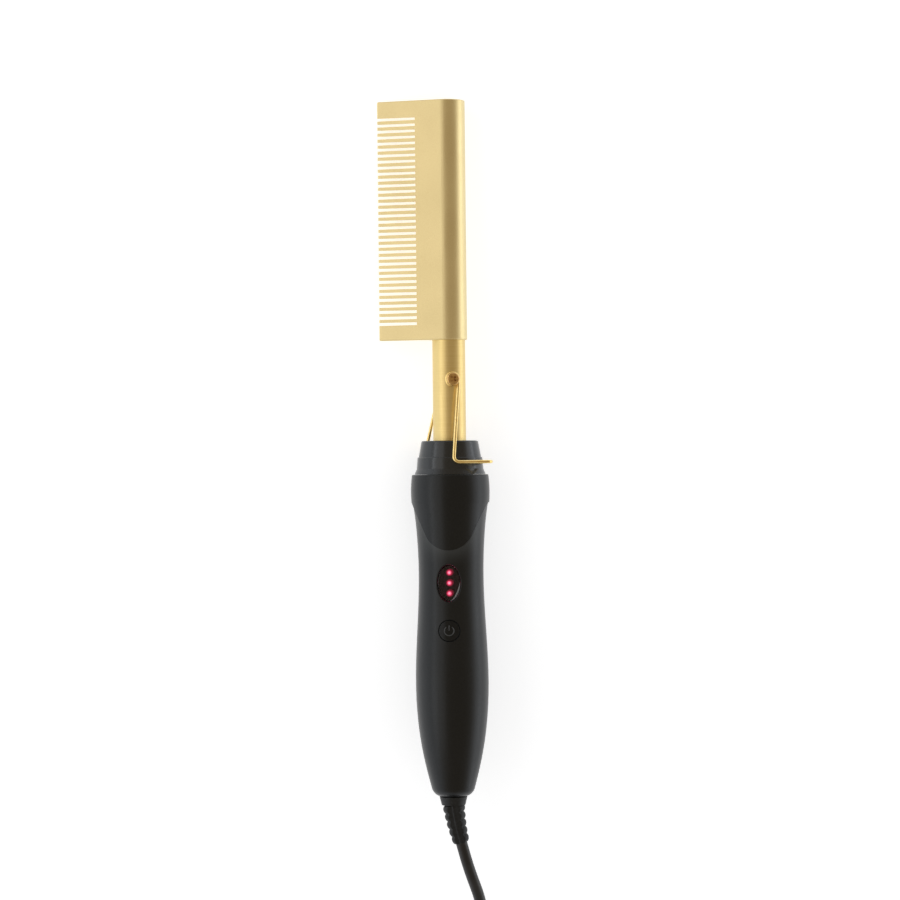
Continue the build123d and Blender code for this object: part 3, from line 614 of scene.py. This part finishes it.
def spread_over(tree, value, low, high, start=0.3, end=0.7):
    """The value's usual range stretched from low to high."""
    node = tree.nodes.new("ShaderNodeMapRange")
    node.inputs["From Min"].default_value = start
    node.inputs["From Max"].default_value = end
    node.inputs["To Min"].default_value = low
    node.inputs["To Max"].default_value = high
    tree.links.new(value, node.inputs["Value"])
    return node.outputs["Result"]


def colours(tree, value, dark, light, start=0.35, end=0.65):
    """Two colours mixed by a value."""
    ramp = tree.nodes.new("ShaderNodeValToRGB")
    ramp.color_ramp.elements[0].position = start
    ramp.color_ramp.elements[1].position = end
    ramp.color_ramp.elements[0].color = (*dark, 1)
    ramp.color_ramp.elements[1].color = (*light, 1)
    tree.links.new(value, ramp.inputs["Fac"])
    return ramp.outputs["Color"]


def bump(tree, shader, value, depth, strength=1.0, under=None):
    """Relief of a depth in metres, over the relief before it if there is one."""
    node = tree.nodes.new("ShaderNodeBump")
    node.inputs["Distance"].default_value = depth
    node.inputs["Strength"].default_value = strength
    tree.links.new(value, node.inputs["Height"])
    if under:
        tree.links.new(under.outputs["Normal"], node.inputs["Normal"])
    tree.links.new(node.outputs["Normal"], shader.inputs["Normal"])
    return node


def blasted_gold():
    """Blasted and gold anodised metal: a fine even grain."""
    finish, tree, shader = new_finish("blasted_gold")
    grain = noise(tree, 4200, 3)
    cloud = noise(tree, 55, 2)
    tree.links.new(
        colours(tree, grain, (0.755, 0.627, 0.335), (0.83, 0.71, 0.395)),
        shader.inputs["Base Color"],
    )
    shader.inputs["Metallic"].default_value = 1.0
    tree.links.new(spread_over(tree, cloud, 0.34, 0.44), shader.inputs["Roughness"])
    wide = bump(tree, shader, noise(tree, 900, 2), 0.02 * MM, 0.5)
    bump(tree, shader, grain, 0.02 * MM, 0.9, wide)
    return finish


def drawn_gold():
    """Gold-plated tube: smoother, with faint rings from turning."""
    finish, tree, shader = new_finish("drawn_gold")
    rings = noise(tree, 60, 2, (1, 60, 1))
    grain = noise(tree, 1800, 2)
    tree.links.new(
        colours(tree, rings, (0.77, 0.60, 0.262), (0.81, 0.64, 0.292)), shader.inputs["Base Color"]
    )
    shader.inputs["Metallic"].default_value = 1.0
    tree.links.new(spread_over(tree, grain, 0.36, 0.42), shader.inputs["Roughness"])
    bump(tree, shader, rings, 0.01 * MM, 0.2)
    return finish


def wire_gold():
    """Bright gold-plated wire and screws."""
    finish, tree, shader = new_finish("bright_gold_wire")
    marks = noise(tree, 700, 3)
    tree.links.new(
        colours(tree, marks, (0.84, 0.62, 0.24), (0.94, 0.74, 0.34)), shader.inputs["Base Color"]
    )
    shader.inputs["Metallic"].default_value = 1.0
    tree.links.new(spread_over(tree, marks, 0.14, 0.24), shader.inputs["Roughness"])
    bump(tree, shader, marks, 0.01 * MM, 0.3)
    return finish


def moulded_black(name, low, high, grain_scale, depth, roughness, gloss):
    """Black moulding with a spark-eroded skin."""
    finish, tree, shader = new_finish(name)
    shader.inputs["Specular IOR Level"].default_value = gloss
    shader.inputs["Specular Tint"].default_value = (0.88, 0.94, 1.0, 1)
    grain = noise(tree, grain_scale, 3)
    cloud = noise(tree, 30, 2)
    tree.links.new(colours(tree, grain, (low,) * 3, (high,) * 3), shader.inputs["Base Color"])
    tree.links.new(spread_over(tree, cloud, *roughness), shader.inputs["Roughness"])
    bump(tree, shader, grain, depth, 0.6)
    return finish


def smoked_window():
    """Clear smoked plastic, polished in front."""
    finish, tree, shader = new_finish("smoked_window")
    shader.inputs["Base Color"].default_value = (0.20, 0.10, 0.12, 1)
    shader.inputs["Transmission Weight"].default_value = 1.0
    shader.inputs["IOR"].default_value = 1.4
    smears = noise(tree, 240, 2)
    tree.links.new(spread_over(tree, smears, 0.05, 0.12), shader.inputs["Roughness"])
    return finish


def lit_lenses():
    """Three lit lenses in a row, each white-hot in its middle and deep red at its rim."""
    finish, tree, shader = new_finish("red_lights")
    place = tree.nodes.new("ShaderNodeTexCoord")
    along = tree.nodes.new("ShaderNodeMapping")
    along.vector_type = "TEXTURE"
    along.inputs["Location"].default_value = on_tool(0, lights_y - 1.5 * light_pitch, 0)
    along.inputs["Rotation"].default_value = tool_axes.to_euler()
    along.inputs["Scale"].default_value = (light_pitch * MM,) * 3
    tree.links.new(place.outputs["Object"], along.inputs["Vector"])
    parts = tree.nodes.new("ShaderNodeSeparateXYZ")
    tree.links.new(along.outputs["Vector"], parts.inputs["Vector"])
    own = tree.nodes.new("ShaderNodeMath")
    own.operation = "FRACT"
    tree.links.new(parts.outputs["Y"], own.inputs[0])
    middle = tree.nodes.new("ShaderNodeMath")
    middle.operation = "SUBTRACT"
    middle.inputs[1].default_value = 0.5
    tree.links.new(own.outputs[0], middle.inputs[0])
    flat = tree.nodes.new("ShaderNodeCombineXYZ")
    tree.links.new(parts.outputs["X"], flat.inputs["X"])
    tree.links.new(middle.outputs[0], flat.inputs["Y"])
    reach = tree.nodes.new("ShaderNodeVectorMath")
    reach.operation = "LENGTH"
    tree.links.new(flat.outputs["Vector"], reach.inputs[0])
    ramp = tree.nodes.new("ShaderNodeValToRGB")
    ramp.color_ramp.interpolation = "EASE"
    stops = ((0.06, (1.0, 0.62, 0.72)), (0.15, (0.85, 0.16, 0.30)), (0.24, (0.22, 0.012, 0.045)))
    for stop, (share, colour) in zip(
        [*ramp.color_ramp.elements, ramp.color_ramp.elements.new(1.0)], stops
    ):
        stop.position = share
        stop.color = (*colour, 1)
    rim = ramp.color_ramp.elements.new(0.38)
    rim.color = (0.03, 0.001, 0.006, 1)
    tree.links.new(reach.outputs["Value"], ramp.inputs["Fac"])
    tree.links.new(ramp.outputs["Color"], shader.inputs["Emission Color"])
    shader.inputs["Base Color"].default_value = (0.05, 0.004, 0.010, 1)
    shader.inputs["Roughness"].default_value = 0.3
    uneven = noise(tree, 900, 1)
    tree.links.new(
        spread_over(tree, uneven, light_strength * 0.9, light_strength * 1.1),
        shader.inputs["Emission Strength"],
    )
    return finish


def cord_skin():
    """Extruded cord: satin, with a slight waviness."""
    finish, tree, shader = new_finish("cord_skin")
    wave = noise(tree, 160, 2)
    grain = noise(tree, 1500, 2)
    tree.links.new(
        colours(tree, wave, (0.006, 0.006, 0.007), (0.014, 0.014, 0.015)),
        shader.inputs["Base Color"],
    )
    tree.links.new(spread_over(tree, grain, 0.34, 0.46), shader.inputs["Roughness"])
    bump(tree, shader, wave, 0.05 * MM, 0.4)
    return finish


def woven_tie():
    """A woven strap round the hank."""
    finish, tree, shader = new_finish("woven_tie")
    weave = noise(tree, 1400, 1, (1, 0.3, 1))
    tree.links.new(
        colours(tree, weave, (0.010, 0.010, 0.011), (0.045, 0.045, 0.047)),
        shader.inputs["Base Color"],
    )
    shader.inputs["Roughness"].default_value = 0.85
    bump(tree, shader, weave, 0.12 * MM, 0.8)
    return finish


# The shield's edge on the handle's front: a round foot between two straight sides
shield_corner = (9.4, 111.6)  # across and along the tool
shield_top = (16.5, 126.5)
shield_radius = 11.1
shield_middle_y = 117.5
# Painted light: a paler tone painted just below the shield's edge, standing in for light caught by
# a hollow there
painted_light_start = 0.12  # outside the edge
painted_light_length = 9.0
painted_light_colour = (0.040, 0.041, 0.040)


def paint_scoop_light(finish):
    """Painted light: a paler base colour just outside the shield's edge, in place of a lit hollow,
    fading down the handle.
    """
    tree = finish.node_tree
    shader = tree.nodes["Principled BSDF"]
    place = tree.nodes.new("ShaderNodeTexCoord")
    along = tree.nodes.new("ShaderNodeMapping")
    along.vector_type = "TEXTURE"
    along.inputs["Location"].default_value = on_tool(0, shield_corner[1], 0)
    along.inputs["Rotation"].default_value = tool_axes.to_euler()
    along.inputs["Scale"].default_value = (MM,) * 3
    tree.links.new(place.outputs["Object"], along.inputs["Vector"])
    parts = tree.nodes.new("ShaderNodeSeparateXYZ")
    tree.links.new(along.outputs["Vector"], parts.inputs["Vector"])

    def worked(operation, first, second):
        """One step of maths on two sockets or numbers."""
        node = tree.nodes.new("ShaderNodeMath")
        node.operation = operation
        for socket, value in zip(node.inputs, (first, second)):
            if isinstance(value, (int, float)):
                socket.default_value = value
            else:
                tree.links.new(value, socket)
        return node.outputs[0]

    x, y = parts.outputs["X"], parts.outputs["Y"]
    side = Vector((shield_top[1] - shield_corner[1], shield_corner[0] - shield_top[0])).normalized()
    by_side = worked(
        "ADD",
        worked("MULTIPLY", worked("SUBTRACT", worked("ABSOLUTE", x, 0), shield_corner[0]), side.x),
        worked("MULTIPLY", y, side.y),
    )
    up = worked("SUBTRACT", y, shield_middle_y - shield_corner[1])
    by_arc = worked(
        "SUBTRACT",
        worked("SQRT", worked("ADD", worked("MULTIPLY", x, x), worked("MULTIPLY", up, up)), 0),
        shield_radius,
    )
    above = worked("GREATER_THAN", y, 0)
    reach = worked(
        "ADD",
        worked("MULTIPLY", above, by_side),
        worked("MULTIPLY", worked("SUBTRACT", 1, above), by_arc),
    )
    outside = worked("GREATER_THAN", reach, painted_light_start)
    in_front = worked("GREATER_THAN", parts.outputs["Z"], 0)
    fade = spread_over(tree, reach, 1, 0, 0, painted_light_length)
    shown = worked("MULTIPLY", outside, in_front)
    painted_light_share = worked("MULTIPLY", shown, worked("MULTIPLY", fade, fade))
    # mixes the painted light colour into the handle's own base colour
    mixed = tree.nodes.new("ShaderNodeMix")
    mixed.data_type = "RGBA"
    own = shader.inputs["Base Color"].links[0].from_socket
    sockets = {socket.identifier: socket for socket in [*mixed.inputs, *mixed.outputs]}
    tree.links.new(painted_light_share, sockets["Factor_Float"])
    tree.links.new(own, sockets["A_Color"])
    sockets["B_Color"].default_value = (*painted_light_colour, 1)
    tree.links.new(sockets["Result_Color"], shader.inputs["Base Color"])
    return finish


def plain_metal(name, dark, light, roughness, scale=900):
    """Bare metal with fine marks."""
    finish, tree, shader = new_finish(name)
    marks = noise(tree, scale, 3)
    tree.links.new(colours(tree, marks, dark, light), shader.inputs["Base Color"])
    shader.inputs["Metallic"].default_value = 1.0
    tree.links.new(spread_over(tree, marks, *roughness), shader.inputs["Roughness"])
    bump(tree, shader, marks, 0.01 * MM, 0.4)
    return finish


def plain_matter(name, dark, light, roughness, scale=700, depth=0.02):
    """Any other plain matter; depth of its relief is in millimetres."""
    finish, tree, shader = new_finish(name)
    marks = noise(tree, scale, 2)
    tree.links.new(colours(tree, marks, dark, light), shader.inputs["Base Color"])
    tree.links.new(spread_over(tree, marks, *roughness), shader.inputs["Roughness"])
    bump(tree, shader, marks, depth * MM, 0.5)
    return finish


handle_skin = moulded_black("handle_skin", 0.002, 0.005, 1500, 0.006 * MM, (0.30, 0.37), 0.40)
# paints a paler tone below the shield's edge on the handle: painted light, not a real colour
paint_scoop_light(handle_skin)
collar_skin = moulded_black("collar_skin", 0.004, 0.009, 1200, 0.006 * MM, (0.20, 0.26), 0.7)
button_skin = moulded_black("button_skin", 0.003, 0.007, 1500, 0.004 * MM, (0.20, 0.28), 0.3)
boot_skin = moulded_black("boot_skin", 0.006, 0.014, 900, 0.02 * MM, (0.42, 0.52), 0.35)
plug_skin = moulded_black("plug_skin", 0.006, 0.014, 1100, 0.02 * MM, (0.40, 0.50), 0.35)
sign_skin = moulded_black("sign_skin", 0.04, 0.06, 1500, 0.004 * MM, (0.24, 0.32), 0.5)
# A painted highlight: pale grey on the window's edge, glossy as well, where the rim would catch the
# light
painted_highlight_skin = moulded_black("painted_highlight_grey", 0.16, 0.22, 1500, 0.002 * MM, (0.10, 0.16), 1.0)
blasted = blasted_gold()
drawn = drawn_gold()
bright = wire_gold()
steel = plain_metal("turned_steel", (0.45, 0.46, 0.47), (0.62, 0.62, 0.63), (0.25, 0.38))
bronze = plain_metal("bronzed_screws", (0.52, 0.31, 0.11), (0.70, 0.46, 0.19), (0.16, 0.26))
ceramic = plain_matter("fired_ceramic", (0.80, 0.79, 0.74), (0.90, 0.89, 0.85), (0.7, 0.85))
sleeve_colours = (0.66, 0.66, 0.62), (0.78, 0.78, 0.75)
finishes = {
    "comb_head": blasted,
    "comb_end_plug": blasted,
    "neck_tube": drawn,
    "stand_wire": bright,
    "joining_spigot": steel,
    "tube_retainer": steel,
    "board_screws": steel,
    "heater_carrier": plain_metal(
        "extruded_aluminium", (0.62, 0.63, 0.64), (0.76, 0.77, 0.78), (0.35, 0.5)
    ),
    "heater_plates": ceramic,
    "thermistor": ceramic,
    "heat_collar": collar_skin,
    "front_shell": handle_skin,
    "rear_shell": handle_skin,
    "window_lens": smoked_window(),
    "lights": lit_lenses(),
    "power_button": button_skin,
    "switch_plunger": button_skin,
    "tact_switch": plain_matter("switch_case", (0.03,) * 3, (0.06,) * 3, (0.4, 0.5)),
    "circuit_board": plain_matter(
        "solder_mask", (0.03, 0.16, 0.08), (0.06, 0.24, 0.12), (0.25, 0.4), 120
    ),
    "board_components": plain_matter(
        "component_cases", (0.08, 0.08, 0.09), (0.15, 0.15, 0.16), (0.5, 0.6)
    ),
    "heater_leads": plain_matter("lead_sleeves", *sleeve_colours, (0.6, 0.7)),
    "mains_wires": plain_matter("wire_sleeves", *sleeve_colours, (0.5, 0.6)),
    "cord_swivel": boot_skin,
    "cord_tie": woven_tie(),
    "plug_body": plug_skin,
    "plug_pins": plain_metal("pin_brass", (0.66, 0.58, 0.36), (0.80, 0.74, 0.52), (0.16, 0.28)),
}


def dress(piece, finish):
    """Gives every slot of a piece this finish."""
    if not piece.data.materials:
        piece.data.materials.append(finish)
    for slot in piece.material_slots:
        slot.material = finish


for name, finish in finishes.items():
    dress(nodes[name], finish)
dress(cord_line, cord_skin())
dress(boot, boot_skin)
for piece in pivot_screws:
    dress(piece, bronze)
for piece in shell_screws:
    dress(piece, steel)
dress(sign_ring, sign_skin)
dress(sign_bar, sign_skin)
dress(window_edge, painted_highlight_skin)


# Floor and backdrop

floor_size = 6.0  # metres each way from the middle
floor_grey = 0.82
floor_lift = 0.62  # what the floor shows of its own to camera, gloss and glass


def shown_rays(tree):
    """1 for rays from the camera, off gloss and through glass."""
    path = tree.nodes.new("ShaderNodeLightPath")
    total = path.outputs["Is Camera Ray"]
    for other in ("Is Glossy Ray", "Is Transmission Ray"):
        sum_node = tree.nodes.new("ShaderNodeMath")
        sum_node.operation = "ADD"
        sum_node.use_clamp = True
        tree.links.new(total, sum_node.inputs[0])
        tree.links.new(path.outputs[other], sum_node.inputs[1])
        total = sum_node.outputs[0]
    return total


def make_floor():
    shape = bmesh.new()
    bmesh.ops.create_grid(shape, x_segments=8, y_segments=8, size=floor_size)
    floor = make_object("floor", shape, None)
    finish, tree, shader = new_finish("pale_floor")
    shader.inputs["Base Color"].default_value = (floor_grey,) * 3 + (1,)
    shader.inputs["Specular IOR Level"].default_value = 0.0
    shader.inputs["Emission Color"].default_value = (1, 1, 1, 1)
    tree.links.new(
        spread_over(tree, noise(tree, 40, 2), 0.85, 0.95), shader.inputs["Roughness"]
    )
    lift = tree.nodes.new("ShaderNodeMath")
    lift.operation = "MULTIPLY"
    lift.inputs[1].default_value = floor_lift
    tree.links.new(shown_rays(tree), lift.inputs[0])
    tree.links.new(lift.outputs[0], shader.inputs["Emission Strength"])
    dress(floor, finish)


make_floor()


# Light: a long soft box and a narrow strip on each side, and a dim, warm ceiling

lamp_distance = 1.1
ceiling_colour = (0.41, 0.33, 0.23)
fill_strength = 0.45


def soft_box(name, angle, width, length, power, along):
    """A soft box over the tool's length, at an angle from straight above, towards +X."""
    data = bpy.data.lights.new(name, "AREA")
    data.shape = "RECTANGLE"
    data.size = width
    data.size_y = length
    data.energy = power
    lamp = bpy.data.objects.new(name, data)
    turn = math.radians(angle)
    lamp.location = (lamp_distance * math.sin(turn), along, lamp_distance * math.cos(turn))
    lamp.rotation_euler = (0, turn, 0)
    bpy.context.scene.collection.objects.link(lamp)


soft_box("left_box", -54, 0.80, 1.5, 2.45, 0.15)
soft_box("left_strip", -70, 0.10, 1.4, 0.6, 0.10)
soft_box("right_box", 76, 0.70, 1.5, 1.85, 0.05)
soft_box("right_strip", 86, 0.10, 1.4, 0.55, 0.0)


def make_world():
    """White to the camera and through glass, the ceiling in gloss, an even fill for the rest."""
    world = bpy.data.worlds.new("studio")
    world.use_nodes = True
    tree = world.node_tree
    tree.nodes.clear()
    out = tree.nodes.new("ShaderNodeOutputWorld")
    path = tree.nodes.new("ShaderNodeLightPath")
    way = tree.nodes.new("ShaderNodeTexCoord")
    parts = tree.nodes.new("ShaderNodeSeparateXYZ")
    tree.links.new(way.outputs["Generated"], parts.inputs["Vector"])
    ceiling = tree.nodes.new("ShaderNodeBackground")
    tree.links.new(
        colours(tree, parts.outputs["Z"], (1.0, 1.0, 1.0), ceiling_colour, 0.0, 0.6),
        ceiling.inputs["Color"],
    )
    fill = tree.nodes.new("ShaderNodeBackground")
    fill.inputs["Strength"].default_value = fill_strength
    fill.inputs["Color"].default_value = (1, 1, 1, 1)
    white = tree.nodes.new("ShaderNodeBackground")
    white.inputs["Color"].default_value = (1, 1, 1, 1)
    seen = tree.nodes.new("ShaderNodeMath")
    seen.operation = "MAXIMUM"
    tree.links.new(path.outputs["Is Camera Ray"], seen.inputs[0])
    tree.links.new(path.outputs["Is Transmission Ray"], seen.inputs[1])
    by_gloss = tree.nodes.new("ShaderNodeMixShader")
    tree.links.new(path.outputs["Is Glossy Ray"], by_gloss.inputs["Fac"])
    tree.links.new(fill.outputs[0], by_gloss.inputs[1])
    tree.links.new(ceiling.outputs[0], by_gloss.inputs[2])
    by_sight = tree.nodes.new("ShaderNodeMixShader")
    tree.links.new(seen.outputs[0], by_sight.inputs["Fac"])
    tree.links.new(by_gloss.outputs[0], by_sight.inputs[1])
    tree.links.new(white.outputs[0], by_sight.inputs[2])
    tree.links.new(by_sight.outputs[0], out.inputs["Surface"])
    bpy.context.scene.world = world


make_world()
bpy.context.scene.view_settings.view_transform = "Standard"


# Camera, as the photograph was taken

camera_place = Vector((-226.0, 70.25, 1288.9)) * MM
camera_turns = (-2.741, -10.323, -0.56)  # degrees about X, Y and Z
camera_data = bpy.data.cameras.new("camera")
camera_data.sensor_width = 36
camera_data.lens = 120
camera = bpy.data.objects.new("camera", camera_data)
camera.location = camera_place
camera.rotation_mode = "ZYX"
camera.rotation_euler = Euler([math.radians(turn) for turn in camera_turns], "ZYX")
bpy.context.scene.collection.objects.link(camera)
bpy.context.scene.camera = camera
